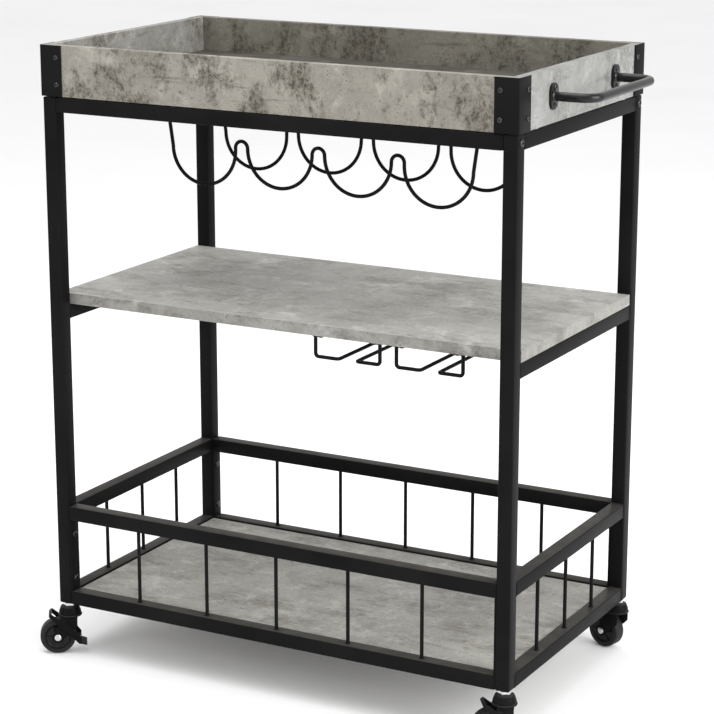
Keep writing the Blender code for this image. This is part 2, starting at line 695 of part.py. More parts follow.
def make_stem(name, sx, sy):
    """Fixed half of a caster: plug pressed into the post, nut, upper raceway and king pin."""
    race_low = FORK_CROWN_Z + FORK_SHEET + GAP
    collar = CASTER_HEIGHT - GAP
    pin_top, pin_foot = CASTER_HEIGHT + STEM_REACH, FORK_CROWN_Z - GAP
    nut, race, rivet = 0.0095, 0.0155, 0.0065
    profile = [(0.0, pin_top), (STEM_RADIUS, pin_top), (STEM_RADIUS, collar),
               (nut, collar), (nut, collar - 0.004), (0.0125, collar - 0.006), (race, race_low + 0.004),
               (race, race_low), (STEM_RADIUS, race_low), (STEM_RADIUS, pin_foot),
               (rivet, pin_foot), (0.0055, pin_foot - 0.0019), (0.0, pin_foot - 0.0019)]
    stem = turned("stem", profile, ZINC, 12)
    half = TUBE / 2 - TUBE_WALL - 2 * GAP
    square = rectangle((-half, half), (-half, half))
    plug_middle = CASTER_HEIGHT + GAP + PLUG_HEIGHT / 2
    plug = flat_plate("plug", [square], PLUG_HEIGHT, Matrix.Translation((0, 0, plug_middle)))
    swivel_base = bpy.data.objects.new("post_foot_" + name, None)
    CART.objects.link(swivel_base)
    swivel_base.location = (sx * POST_X, sy * POST_Y, 0)
    fuse("caster_stem_" + name, [stem, plug], swivel_base)


def side_plate(name, outlines, thickness, middle_y):
    """Plate parallel to the caster's rolling plane, at a distance to one side of it."""
    return flat_plate(name, outlines, thickness, Matrix.Translation((0, middle_y, 0)) @ OUTLINE_IN_XZ)


def make_fork(name, swivel, braked):
    """Pressed fork: round crown and two legs, with two studs for the brake on the front casters."""
    axle = (-CASTER_TRAIL, WHEEL_RADIUS)
    crown_middle = FORK_CROWN_Z + FORK_SHEET / 2
    leg = [(-0.010, crown_middle), (0.010, crown_middle), (0.009, 0.047)]
    leg += arc(axle, FORK_BOSS_RADIUS, -35, -195, 8)
    solids = [flat_plate("crown", [circle((0, 0), FORK_CROWN_RADIUS, 20), circle((0, 0), STEM_RADIUS + GAP)],
                         FORK_SHEET, Matrix.Translation((0, 0, crown_middle)))]
    for side, _ in SIDES:
        leg_middle = FORK_LEG_INNER + FORK_SHEET / 2
        leg_outlines = [leg, circle(axle, AXLE_RADIUS + GAP)]
        solids.append(side_plate("leg", leg_outlines, FORK_SHEET, side * leg_middle))
        if braked:
            stud_end = FORK_LEG_INNER + FORK_SHEET + 2 * GAP + BRAKE_SHEET
            solids.append(side_plate("stud", [circle(BRAKE_PIVOT, BRAKE_STUD_RADIUS)], stud_end - leg_middle,
                                     side * (leg_middle + stud_end) / 2))
    fuse("caster_fork_" + name, solids, swivel)


def make_wheel(name, swivel):
    half = WHEEL_WIDTH / 2
    bore = AXLE_RADIUS + GAP
    hub, web, rim, r = 0.007, 0.0165, 0.0185, WHEEL_RADIUS
    side = [(hub, half + 0.0012), (hub, half - 0.0020), (web, half - 0.0020), (rim, half),
            (r - 0.0014, half), (r, half - 0.0030)]
    profile = side + [(radius, -height) for radius, height in reversed(side)]
    profile += [(bore, -half - 0.0012), (bore, half + 0.0012)]
    wheel = turned("caster_wheel_" + name, profile, TREAD, 20, ring=True)
    wheel.parent = swivel
    wheel.location = (-CASTER_TRAIL, 0, WHEEL_RADIUS)
    wheel.rotation_euler = (math.pi / 2, 0, 0)


def make_axle(name, swivel):
    """Rivet through the fork's legs, with domed heads outside them."""
    face = FORK_LEG_INNER + FORK_SHEET + GAP
    crown = face + 0.0020
    head = AXLE_HEAD_RADIUS
    end = [(0.0, crown), (head * 0.6, crown - 0.0003), (head, face + 0.0008), (head, face),
           (AXLE_RADIUS, face)]
    profile = end + [(radius, -height) for radius, height in reversed(end)]
    axle = turned("caster_axle_" + name, profile, ZINC, 12)
    axle.parent = swivel
    axle.location = (-CASTER_TRAIL, 0, WHEEL_RADIUS)
    axle.rotation_euler = (math.pi / 2, 0, 0)


def make_brake(name, swivel):
    """Rocker over the fork: cheeks on its two studs, shoe and pedal in front, release tab behind."""
    cheek_y = FORK_LEG_INNER + FORK_SHEET + GAP + BRAKE_SHEET / 2
    outline = arc(BRAKE_PIVOT, BRAKE_BOSS_RADIUS, 40, 120, 3)
    outline += [(-0.0255, 0.0600), (-0.0300, 0.0570), (-0.0170, 0.0440)]
    outline += arc(BRAKE_PIVOT, BRAKE_BOSS_RADIUS, 215, 250, 2)
    outline += [(0.0120, 0.0150), (0.0150, 0.0150), (0.0150, 0.0250), (0.0050, 0.0380)]
    hole = circle(BRAKE_PIVOT, BRAKE_STUD_RADIUS + GAP)
    solids = [side_plate("cheek", [outline, hole], BRAKE_SHEET, side * cheek_y) for side, _ in SIDES]
    across = 2 * cheek_y
    pedal = [(0.0122, 0.0235), (0.0137, 0.0235), (0.0140, 0.0165),
             (0.0230, 0.0140), (0.0226, 0.0125), (0.0126, 0.0153)]
    release = [(-0.0258, 0.0592), (-0.0268, 0.0604), (-0.0302, 0.0573), (-0.0292, 0.0560)]
    solids += [side_plate("pedal", [pedal], across, 0.0), side_plate("release", [release], across, 0.0)]
    fuse("caster_brake_" + name, solids, swivel)


def make_casters():
    for name, sx, sy in CORNERS:
        make_stem(name, sx, sy)
        swivel = bpy.data.objects.new("swivel_" + name, None)
        CART.objects.link(swivel)
        swivel.location = (sx * POST_X, sy * POST_Y, 0)
        swivel.rotation_euler = (0, 0, FRONT_HEADING if sy < 0 else REAR_HEADING)
        make_fork(name, swivel, braked=sy < 0)
        make_wheel(name, swivel)
        make_axle(name, swivel)
        if sy < 0:
            make_brake(name, swivel)


make_posts()
make_cross_rails()
make_top_rails()
make_lower_panels()
make_frame_bolts()
make_wine_rack()
make_middle_shelf()
make_bottom_shelf()
make_stemware_rails()
make_tray_boards()
make_tray_brackets()
make_handles()
make_casters()
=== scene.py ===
"""Kitchen island cart: finished surfaces, fine metalwork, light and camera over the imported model."""
import json
import math
import random

import bmesh
import bpy
from mathutils import Matrix, Vector


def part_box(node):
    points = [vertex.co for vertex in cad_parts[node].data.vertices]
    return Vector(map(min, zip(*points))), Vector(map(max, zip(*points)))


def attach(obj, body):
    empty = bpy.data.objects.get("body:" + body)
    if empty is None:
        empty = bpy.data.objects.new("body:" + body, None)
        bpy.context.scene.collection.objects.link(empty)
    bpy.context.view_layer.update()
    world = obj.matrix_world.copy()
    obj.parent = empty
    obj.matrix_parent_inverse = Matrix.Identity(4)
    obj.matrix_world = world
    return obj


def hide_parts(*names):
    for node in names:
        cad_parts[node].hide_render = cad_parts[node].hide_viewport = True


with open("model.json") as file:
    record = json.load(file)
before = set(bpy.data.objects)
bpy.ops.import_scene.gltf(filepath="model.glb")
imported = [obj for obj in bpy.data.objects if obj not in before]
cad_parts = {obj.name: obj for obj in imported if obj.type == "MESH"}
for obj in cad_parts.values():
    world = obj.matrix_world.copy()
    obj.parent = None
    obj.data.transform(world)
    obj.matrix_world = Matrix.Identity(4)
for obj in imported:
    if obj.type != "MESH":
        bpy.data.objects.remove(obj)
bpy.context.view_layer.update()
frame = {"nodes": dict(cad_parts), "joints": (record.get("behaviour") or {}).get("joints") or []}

# Stock sizes of the model, in metres
TUBE = 0.020
TUBE_EDGE = 0.0016
PLATE = 0.002
SHEET_EDGE = 0.0004
GAP = 0.0003
WIRE_RADIUS = 0.0025
PANEL_WIRE_PITCH = 0.110
SIDE_WIRE_PITCH = 0.092
PANEL_SCREW_HEIGHTS = (0.113, 0.178)
SHELF_TAB_PLACES = (-0.270, 0.0, 0.270)
SHELF_TAB_SIZE = (0.025, 0.022)
BOTTLE_PITCH = 0.119
CRADLE_RADIUS = 0.050
CRADLE_CENTRE_DROP = 0.051
END_CRADLE_DROP = 0.004
STEM_SLOT_CENTRES = (0.098, 0.217)
STEM_SLOT_HALF = 0.013
STEM_LEG_HALF = 0.0475
STEM_DROP = 0.030
STEM_ROWS = (-0.168, 0.062)
STEM_BEND = 0.0045
STEM_TAB_SIZE = (0.012, 0.018)
STEM_SCREW_SETBACK = 0.008
STRAP_SHEET = 0.0025
STRAP_SCREW_DROP = 0.008
MIDDLE_SHELF_SCREW_Y = 0.090
BRACKET_LEG = 0.032
BRACKET_SHEET = 0.0015
BRACKET_BEND = 0.0022
BRACKET_SCREW_INSET = 0.024
BRACKET_SCREW_HALF_SPACING = 0.018
HANDLE_ROD_RADIUS = 0.006
HANDLE_HALF_SPAN = 0.100
HANDLE_BEND = 0.020
FLANGE_SIZE = (0.022, 0.034)
FLANGE_THICKNESS = 0.0035
FLANGE_SCREW_OFFSET = 0.0115
CASTER_TRAIL = 0.018
WHEEL_RADIUS = 0.025
WHEEL_HALF = 0.009
FORK_CROWN_Z = 0.0555
FORK_SHEET = 0.002
FORK_LEG_INNER = 0.0108
BRAKE_PIVOT = (-0.009, 0.044)
BRAKE_SHEET = 0.0015
BRAKE_HUB_RADIUS = 0.0060
PEDAL_RIB_PITCH = 0.0017

# Screw heads, each as its radius and height
TOP_RAIL_HEAD = (0.0052, 0.0028)
PANEL_HEAD = (0.0048, 0.0024)
STRAP_HEAD = (0.0042, 0.0022)
MIDDLE_SHELF_HEAD = (0.0042, 0.0022)
SHELF_TAB_HEAD = (0.0038, 0.0020)
STEM_HEAD = (0.0036, 0.0019)
BRACKET_HEAD = (0.0036, 0.0017)
HANDLE_HEAD = (0.0034, 0.0016)

# Laminate colours and the colour of the painted sheen on upward steel faces, linear
LIGHT_GREY = (0.345, 0.342, 0.322)
DARK_GREY = (0.175, 0.170, 0.155)
PATCH_BROWN = (0.150, 0.136, 0.112)
SPECK_BROWN = (0.050, 0.043, 0.034)
RUN_BROWN = (0.090, 0.078, 0.062)
PIT_BROWN = (0.030, 0.026, 0.021)
PALE_WISP = (0.50, 0.495, 0.475)
# Brownish grey painted on upward steel faces, a painted sheen of glancing light
TOP_SHEEN_PAINT = (0.060, 0.056, 0.050)
UPRIGHT_GRAIN = (1.0, 1.0, 0.8)
FLAT_GRAIN = (0.60, 1.6, 1.0)
RUN_GRAIN = (0.30, 0.30, 2.4)

# Camera at the photograph's viewing angle
CAMERA_PLACE = (1.5091, -2.7504, 1.2431)
CAMERA_PITCH = 75.497
CAMERA_HEADING = 28.415
CAMERA_LENS = 118.0

SIDES = ((-1, "left"), (1, "right"))
ROWS = ((-1, "front"), (1, "rear"))
CORNERS = (("front_left", -1, -1), ("front_right", 1, -1), ("rear_left", -1, 1), ("rear_right", 1, 1))

# Where the model's main faces lie, read from its nodes
POST_LOW, POST_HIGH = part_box("post_front_right")
HALF_X = POST_HIGH.x
HALF_Y = -POST_LOW.y
POST_X = HALF_X - TUBE / 2
POST_Y = HALF_Y - TUBE / 2
FRAME_LOW = POST_LOW.z
FRAME_TOP = POST_HIGH.z
TOP_RAIL_Z = FRAME_TOP - TUBE
GUARD_RAIL_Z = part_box("front_lower_panel")[1].z - TUBE
SHELF_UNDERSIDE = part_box("middle_shelf")[0].z
BOTTOM_SHELF_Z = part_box("bottom_shelf")[0].z
TRAY_BOTTOM, TRAY_TOP = (corner.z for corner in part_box("tray_front_board"))
TRAY_MIDDLE_Z = (TRAY_BOTTOM + TRAY_TOP) / 2
HANDLE_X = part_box("tray_right_handle")[1].x - HANDLE_ROD_RADIUS
RACK_ROW_Y = -(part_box("wine_rack_front_wire")[0].y + WIRE_RADIUS)
STRAP_LOW, STRAP_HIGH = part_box("wine_rack_right_strap")
STRAP_X = (STRAP_LOW.x + STRAP_HIGH.x) / 2


# ---------------------------------------------------------------- materials

def start_material(name):
    material = bpy.data.materials.new(name)
    material.use_nodes = True
    tree = material.node_tree
    return material, tree, tree.nodes["Principled BSDF"]


def add(tree, kind, links=None, values=None, **settings):
    """New shader node with its settings, socket values and incoming links."""
    made = tree.nodes.new(kind)
    for key, value in settings.items():
        setattr(made, key, value)
    for socket, value in (values or {}).items():
        made.inputs[socket].default_value = value
    for socket, source in (links or {}).items():
        tree.links.new(source, made.inputs[socket])
    return made


def place_vector(tree, offset=(0, 0, 0), scale=(1, 1, 1)):
    """Position on the object, shifted and stretched."""
    coordinates = add(tree, "ShaderNodeTexCoord")
    mapping = add(tree, "ShaderNodeMapping", {"Vector": coordinates.outputs["Object"]},
                  {"Location": offset, "Scale": scale})
    return mapping.outputs["Vector"]


def noise(tree, vector, scale, detail=4.0, roughness=0.55, distortion=0.0):
    made = add(tree, "ShaderNodeTexNoise", {"Vector": vector},
               {"Scale": scale, "Detail": detail, "Roughness": roughness, "Distortion": distortion})
    return made.outputs["Fac"]


def ramp(tree, factor, stops):
    """Colour ramp through (position, grey or colour) stops."""
    made = add(tree, "ShaderNodeValToRGB", {"Fac": factor})
    elements = made.color_ramp.elements
    while len(elements) < len(stops):
        elements.new(0.5)
    for element, (position, color) in zip(elements, stops):
        element.position = position
        element.color = (*color, 1.0) if isinstance(color, tuple) else (color, color, color, 1.0)
    return made.outputs["Color"]


def mix(tree, factor, first, second, blend="MIX"):
    """Mixed colour; the factor and the two colours are each a value or an output."""
    made = add(tree, "ShaderNodeMix", data_type="RGBA", blend_type=blend)
    for socket, source in ((made.inputs[0], factor), (made.inputs[6], first), (made.inputs[7], second)):
        if isinstance(source, bpy.types.NodeSocket):
            tree.links.new(source, socket)
        elif isinstance(source, tuple):
            socket.default_value = (*source, 1.0)
        else:
            socket.default_value = source
    return made.outputs[2]


def times(tree, first, second):
    """Product of two colours or masks."""
    return mix(tree, 1.0, first, second, "MULTIPLY")


def upward(tree):
    """The upward part of the surface's normal, from -1 to 1."""
    geometry = add(tree, "ShaderNodeNewGeometry")
    parts = add(tree, "ShaderNodeSeparateXYZ", {"Vector": geometry.outputs["Normal"]})
    return parts.outputs["Z"]


def set_bump(tree, shader, height, strength, distance):
    bump = add(tree, "ShaderNodeBump", {"Height": height}, {"Strength": strength, "Distance": distance})
    tree.links.new(bump.outputs["Normal"], shader.inputs["Normal"])


def powder_coat(name, base, light, roughness, texture=0.30, ior=1.10):
    """Satin black coating with a fine orange-peel texture, cloudy sheen and a faint brownish painted sheen on
    upward faces.
    """
    material, tree, shader = start_material(name)
    vector = place_vector(tree)
    clouds = noise(tree, vector, 9.0, 5.0)
    peel = noise(tree, vector, 850.0, 2.0)
    # Painted sheen: upward faces lightened in patches towards a brownish grey, standing in for light glancing
    # off them
    upward_faces = ramp(tree, upward(tree), ((0.75, 0.0), (1.0, 1.0)))
    painted_top_sheen = times(tree, upward_faces, ramp(tree, noise(tree, vector, 40.0, 6.0), ((0.30, 0.55), (0.75, 1.0))))
    coat = mix(tree, ramp(tree, clouds, ((0.35, 0.0), (0.70, 1.0))), base, light)
    tree.links.new(mix(tree, painted_top_sheen, coat, TOP_SHEEN_PAINT), shader.inputs["Base Color"])
    gloss = ramp(tree, clouds, ((0.30, roughness - 0.05), (0.70, roughness + 0.06)))
    tree.links.new(gloss, shader.inputs["Roughness"])
    shader.inputs["IOR"].default_value = ior
    set_bump(tree, shader, peel, texture, 0.00008)
    return material


def concrete(name, offset, stain, tint_and_painted_light, edge=1.0, grain=UPRIGHT_GRAIN):
    """Concrete-look laminate: cloudy greys, ragged speckled stains, streaks, pits and fine grain.

    stain is how strong the stains are; the fourth argument tints the board and also paints light or shading
    over all of it; edge darkens the faces that don't face up, as painted shading.
    """
    material, tree, shader = start_material(name)
    vector = place_vector(tree, offset)
    streaked = place_vector(tree, offset, grain)

    # Light and dark clouds
    clouds = noise(tree, vector, 7.0, 8.0, 0.62, 0.15)
    mottle = noise(tree, vector, 30.0, 8.0, 0.70, 0.1)
    flecks = noise(tree, vector, 170.0, 6.0, 0.72)
    tone = mix(tree, 0.40, ramp(tree, clouds, ((0.32, 0.0), (0.66, 1.0))),
               ramp(tree, mottle, ((0.34, 0.0), (0.64, 1.0))))
    tone = mix(tree, 0.22, tone, ramp(tree, flecks, ((0.36, 0.0), (0.62, 1.0))))
    color = mix(tree, tone, DARK_GREY, LIGHT_GREY)

    # Stained patches, dark specks inside them, and short vertical runs
    patches = ramp(tree, noise(tree, streaked, 16.0, 10.0, 0.80, 0.1), ((0.49, 0.0), (0.58, 1.0)))
    color = mix(tree, times(tree, patches, (stain * 0.55,) * 3), color, PATCH_BROWN)
    specks = ramp(tree, noise(tree, streaked, 150.0, 7.0, 0.80), ((0.45, 0.0), (0.55, 1.0)))
    stains = times(tree, patches, specks)
    color = mix(tree, times(tree, stains, (stain,) * 3), color, SPECK_BROWN)
    runs = ramp(tree, noise(tree, place_vector(tree, offset, RUN_GRAIN), 34.0, 7.0, 0.70, 0.1),
                ((0.575, 0.0), (0.65, stain * 0.55)))
    color = mix(tree, runs, color, RUN_BROWN)

    # Pits in clusters, pale wisps and fine grain
    cells = add(tree, "ShaderNodeTexVoronoi", {"Vector": vector}, {"Scale": 210.0, "Randomness": 1.0})
    dots = ramp(tree, cells.outputs["Distance"], ((0.12, 1.0), (0.27, 0.0)))
    clusters = ramp(tree, noise(tree, vector, 30.0, 5.0, 0.62), ((0.50, 0.0), (0.62, 1.0)))
    pits = times(tree, dots, clusters)
    color = mix(tree, times(tree, pits, (0.80, 0.80, 0.80)), color, PIT_BROWN)
    pale = ramp(tree, noise(tree, vector, 19.0, 9.0, 0.74, 0.2), ((0.54, 0.0), (0.68, 0.55)))
    color = mix(tree, pale, color, PALE_WISP)
    fine = ramp(tree, noise(tree, vector, 620.0, 3.0), ((0.25, 0.80), (0.75, 1.16)))
    # Painted light and shading: the whole board scaled lighter or darker, along with a slight tint of its own
    color = times(tree, times(tree, color, fine), tint_and_painted_light)

    # Painted shading: faces that don't face up darkened against the top face
    flat = ramp(tree, upward(tree), ((0.40, edge), (0.90, 1.0)))
    tree.links.new(times(tree, color, flat), shader.inputs["Base Color"])
    tree.links.new(ramp(tree, mottle, ((0.30, 0.62), (0.70, 0.48))), shader.inputs["Roughness"])
    shader.inputs["Specular IOR Level"].default_value = 0.30
    set_bump(tree, shader, mix(tree, 0.5, mottle, pits), 0.25, 0.00015)
    return material


def moulded(name, color, roughness, scale=420.0):
    """Moulded polymer: fine mould grain and slightly uneven sheen."""
    material, tree, shader = start_material(name)
    vector = place_vector(tree)
    grain = noise(tree, vector, scale, 3.0)
    scuffs = noise(tree, vector, 60.0, 6.0)
    lighter = tuple(c * 1.7 + 0.003 for c in color)
    tone = mix(tree, ramp(tree, scuffs, ((0.45, 0.0), (0.75, 1.0))), color, lighter)
    tree.links.new(tone, shader.inputs["Base Color"])
    gloss = ramp(tree, scuffs, ((0.3, roughness - 0.06), (0.7, roughness + 0.08)))
    tree.links.new(gloss, shader.inputs["Roughness"])
    shader.inputs["Specular IOR Level"].default_value = 0.25
    set_bump(tree, shader, grain, 0.20, 0.00006)
    return material


def plated(name, color, roughness):
    """Plated steel with faint turning marks and cloudy sheen."""
    material, tree, shader = start_material(name)
    vector = place_vector(tree)
    clouds = noise(tree, vector, 130.0, 5.0)
    darker = tuple(c * 0.72 for c in color)
    tone = mix(tree, ramp(tree, clouds, ((0.35, 0.0), (0.65, 1.0))), color, darker)
    tree.links.new(tone, shader.inputs["Base Color"])
    gloss = ramp(tree, clouds, ((0.3, roughness - 0.05), (0.7, roughness + 0.10)))
    tree.links.new(gloss, shader.inputs["Roughness"])
    shader.inputs["Metallic"].default_value = 1.0
    set_bump(tree, shader, noise(tree, vector, 900.0, 2.0), 0.10, 0.00005)
    return material


STEEL = powder_coat("black_powder_coat", (0.0064, 0.0064, 0.0066), (0.0100, 0.0100, 0.0102), 0.40)
HANDLE_BLACK = powder_coat("handle_black", (0.0040, 0.0040, 0.0042), (0.0065, 0.0065, 0.0065), 0.27,
                           texture=0.12, ior=1.36)
# Each board's fourth value is a tint of its own plus painted light or shading: the tray floor and rear board
# darkened as if shaded by the tray's walls, the other tray boards a little darker, the shelves lighter; the
# shelves' fifth value darkens their sides as painted shading
BOARDS = {
    "tray_front_board": concrete("laminate_tray_front", (3.1, 0.4, 1.7), 0.95, (0.90, 0.865, 0.80)),
    "tray_rear_board": concrete("laminate_tray_rear", (7.9, 5.2, 2.3), 0.75, (0.62, 0.59, 0.53)),
    "tray_left_board": concrete("laminate_tray_left", (1.3, 9.6, 4.4), 0.65, (0.92, 0.91, 0.89)),
    "tray_right_board": concrete("laminate_tray_right", (5.5, 2.8, 8.1), 0.55, (0.83, 0.85, 0.87)),
    "tray_floor": concrete("laminate_tray_floor", (2.2, 6.6, 3.3), 0.60, (0.285, 0.28, 0.25),
                           grain=FLAT_GRAIN),
    "middle_shelf": concrete("laminate_middle_shelf", (8.4, 1.1, 6.2), 0.40, (1.55, 1.54, 1.53), 0.56,
                             FLAT_GRAIN),
    "bottom_shelf": concrete("laminate_bottom_shelf", (4.7, 3.9, 5.8), 0.50, (1.18, 1.17, 1.14), 0.8,
                             FLAT_GRAIN),
}
POLYMER = moulded("caster_polymer", (0.0028, 0.0028, 0.0030), 0.42)
TREAD = moulded("caster_tread", (0.0065, 0.0065, 0.0068), 0.55, 700.0)
PLUG = moulded("post_plug_plastic", (0.008, 0.008, 0.008), 0.5)
ZINC = plated("zinc_plate", (0.70, 0.71, 0.72), 0.24)
BLACK_ZINC = plated("black_zinc", (0.060, 0.060, 0.064), 0.26)


# ---------------------------------------------------------------- shape tools

def axis_matrix(axis):
    """Rotation that turns local +Z towards the given direction."""
    return Vector(axis).to_track_quat("Z", "Y").to_matrix().to_4x4()


def bevel_sharp(bm, width, segments=3, above=40.0):
    edges = [e for e in bm.edges if len(e.link_faces) == 2 and e.calc_face_angle() > math.radians(above)]
    bmesh.ops.bevel(bm, geom=edges, offset=width, segments=segments, profile=0.5, affect="EDGES",
                    clamp_overlap=True)


def block(low, high, bevel=0.0, segments=3):
    """Box between two corners with rounded edges, as a bmesh."""
    low, high = Vector(low), Vector(high)
    bm = bmesh.new()
    bmesh.ops.create_cube(bm, size=1.0)
    bmesh.ops.scale(bm, vec=high - low, verts=bm.verts)
    bmesh.ops.translate(bm, vec=(low + high) / 2, verts=bm.verts)
    if bevel:
        bevel_sharp(bm, bevel, segments)
    return bm


def lathe(profile, steps):
    """Turned solid from (radius, height) points listed top to bottom on the outer side, as a bmesh."""
    bm = bmesh.new()
    rings = []
    for radius, height in profile:
        if radius < 1e-7:
            rings.append([bm.verts.new((0, 0, height))])
        else:
            turns = [2 * math.pi * i / steps for i in range(steps)]
            rings.append([bm.verts.new((radius * math.cos(a), radius * math.sin(a), height)) for a in turns])
    closed = len(rings[0]) > 1
    pairs = list(zip(rings, rings[1:])) + ([(rings[-1], rings[0])] if closed else [])
    for upper, lower in pairs:
        for i in range(steps):
            j = (i + 1) % steps
            corners = [upper[i % len(upper)], lower[i % len(lower)],
                       lower[j % len(lower)], upper[j % len(upper)]]
            face = list(dict.fromkeys(corners))
            if len(face) > 2:
                bm.faces.new(face)
    bmesh.ops.recalc_face_normals(bm, faces=bm.faces)
    return bm


def extruded(outline, thickness, bevel=0.0, segments=2, holes=()):
    """Flat piece with the given outline, its thickness centred on local Z, as a bmesh."""
    curve = bpy.data.curves.new("outline", "CURVE")
    curve.dimensions = "2D"
    curve.fill_mode = "BOTH"
    curve.extrude = thickness / 2
    for points in (outline, *holes):
        spline = curve.splines.new("POLY")
        spline.points.add(len(points) - 1)
        for point, (x, y) in zip(spline.points, points):
            point.co = (x, y, 0.0, 1.0)
        spline.use_cyclic_u = True
    helper = bpy.data.objects.new("outline", curve)
    bpy.context.scene.collection.objects.link(helper)
    bpy.context.view_layer.update()
    mesh = bpy.data.meshes.new_from_object(helper.evaluated_get(bpy.context.evaluated_depsgraph_get()))
    bpy.data.objects.remove(helper)
    bm = bmesh.new()
    bm.from_mesh(mesh)
    bmesh.ops.remove_doubles(bm, verts=bm.verts, dist=1e-6)
    if bevel:
        bevel_sharp(bm, bevel, segments, 50.0)
    return bm


def moved(bm, matrix):
    bmesh.ops.transform(bm, matrix=matrix, verts=bm.verts)
    return bm


def piece(name, solids, material, body, stands_for=()):
    """One object of several bmesh solids that rides on a body and stands for the given CAD nodes."""
    joined = bmesh.new()
    for bm in solids:
        mesh = bpy.data.meshes.new(name)
        bm.to_mesh(mesh)
        bm.free()
        joined.from_mesh(mesh)
        bpy.data.meshes.remove(mesh)
    mesh = bpy.data.meshes.new(name)
    joined.to_mesh(mesh)
    joined.free()
    mesh.shade_smooth()
    mesh.set_sharp_from_angle(angle=math.radians(32))
    obj = bpy.data.objects.new(name, mesh)
    bpy.context.scene.collection.objects.link(obj)
    return finish_piece(obj, material, body, stands_for)


def finish_piece(obj, material, body, stands_for):
    obj.data.materials.append(material)
    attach(obj, body)
    if stands_for:
        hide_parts(*stands_for)
    return obj


def rods(name, routes, radius, material, body, stands_for=(), cyclic=False, swell=None, resolution=5):
    """Round bars along routes of points; swell gives each point's share of the radius."""
    curve = bpy.data.curves.new(name, "CURVE")
    curve.dimensions = "3D"
    curve.bevel_depth = radius
    curve.bevel_resolution = resolution
    curve.use_fill_caps = True
    for route in routes:
        spline = curve.splines.new("POLY")
        spline.points.add(len(route) - 1)
        for point, position in zip(spline.points, route):
            point.co = (*position, 1.0)
            point.radius = swell() if swell else 1.0
        spline.use_cyclic_u = cyclic
        spline.use_smooth = True
    obj = bpy.data.objects.new(name, curve)
    bpy.context.scene.collection.objects.link(obj)
    return finish_piece(obj, material, body, stands_for)


def arc(centre, radius, start, end, count):
    """Points along an arc, from the start angle to the end angle in degrees."""
    angles = [math.radians(start + (end - start) * i / count) for i in range(count + 1)]
    return [(centre[0] + radius * math.cos(a), centre[1] + radius * math.sin(a)) for a in angles]


def circle(centre, radius, count):
    return arc(centre, radius, 0, 360 - 360 / count, count - 1)


def bent_path(corners, radius, steps=8):
    """Route through the corners, each inner corner rounded to the bend radius."""
    corners = [Vector(c) for c in corners]
    path = [corners[0]]
    for before, corner, after in zip(corners, corners[1:], corners[2:]):
        u, v = (before - corner).normalized(), (after - corner).normalized()
        half = u.angle(v) / 2
        centre = corner + (u + v).normalized() * (radius / math.sin(half))
        first = corner + u * (radius / math.tan(half)) - centre
        last = corner + v * (radius / math.tan(half)) - centre
        turn = first.angle(last)
        for i in range(steps + 1):
            part = turn * i / steps
            path.append(centre + (first * math.sin(turn - part) + last * math.sin(part)) / math.sin(turn))
    return path + [corners[-1]]


def stadium(width, height, count=12):
    """Upright outline with round ends."""
    radius = width / 2
    rise = height / 2 - radius
    return arc((0, rise), radius, 0, 180, count) + arc((0, -rise), radius, 180, 360, count)


def cut(bm, cutter):
    """The first bmesh with the second cut from it."""
    objects = []
    for source in (bm, cutter):
        mesh = bpy.data.meshes.new("shape")
        source.to_mesh(mesh)
        source.free()
        obj = bpy.data.objects.new("shape", mesh)
        bpy.context.scene.collection.objects.link(obj)
        objects.append(obj)
    modifier = objects[0].modifiers.new("cut", "BOOLEAN")
    modifier.object = objects[1]
    modifier.operation = "DIFFERENCE"
    modifier.solver = "EXACT"
    bpy.context.view_layer.update()
    mesh = bpy.data.meshes.new_from_object(objects[0].evaluated_get(bpy.context.evaluated_depsgraph_get()))
    result = bmesh.new()
    result.from_mesh(mesh)
    for obj in objects:
        bpy.data.objects.remove(obj)
    return result


# ---------------------------------------------------------------- fasteners and welds

def cross_recess_head(radius, height):
    """Pan head with a cross recess, on local +Z with its seat at the origin, as a bmesh."""
    crown = [(0.0, height), (radius * 0.35, height * 0.985), (radius * 0.62, height * 0.90),
             (radius * 0.84, height * 0.72), (radius * 0.96, height * 0.46), (radius, height * 0.18),
             (radius, -0.0002), (0.0, -0.0002)]
    head = lathe(crown, 32)
    depth = height * 0.75
    for turn in (0.0, math.pi / 2):
        slot = block((-radius * 0.56, -radius * 0.115, height - depth),
                     (radius * 0.56, radius * 0.115, height * 1.5))
        head = cut(head, moved(slot, Matrix.Rotation(turn + 0.5, 4, "Z")))
    return head


def screws(name, seats, head, body, stands_for=()):
    """A group of like screw heads, each seat given as a point and the way its head faces."""
    pattern = cross_recess_head(*head)
    mesh = bpy.data.meshes.new("pattern")
    pattern.to_mesh(mesh)
    pattern.free()
    solids = []
    for number, (point, axis) in enumerate(seats):
        bm = bmesh.new()
        bm.from_mesh(mesh)
        turn = Matrix.Rotation(0.7 * number, 4, "Z")
        solids.append(moved(bm, Matrix.Translation(point) @ axis_matrix(axis) @ turn))
    return piece(name, solids, BLACK_ZINC, body, stands_for)


WELD_RANDOM = random.Random(11)


def weld_swell():
    return WELD_RANDOM.uniform(0.75, 1.15)


def weld_ring(centre, axis, half, count=9):
    """Closed route round a square tube's edge where it meets a flat face."""
    corner = 0.0016
    inner = half - corner
    points = []
    for quarter, (sx, sy) in enumerate(((1, 1), (-1, 1), (-1, -1), (1, -1))):
        start = quarter * 90
        points += arc((sx * inner, sy * inner), corner, start, start + 90, 3)
        following = arc((0, 0), 1, start + 90, start + 90, 1)[0]
        run = Vector((points[-1][0], points[-1][1]))
        heading = Vector((-following[1], following[0]))
        points += [tuple(run + heading * (2 * inner) * i / count) for i in range(1, count)]
    matrix = Matrix.Translation(centre) @ axis_matrix(axis)
    return [matrix @ Vector((x, y, 0)) for x, y in points]


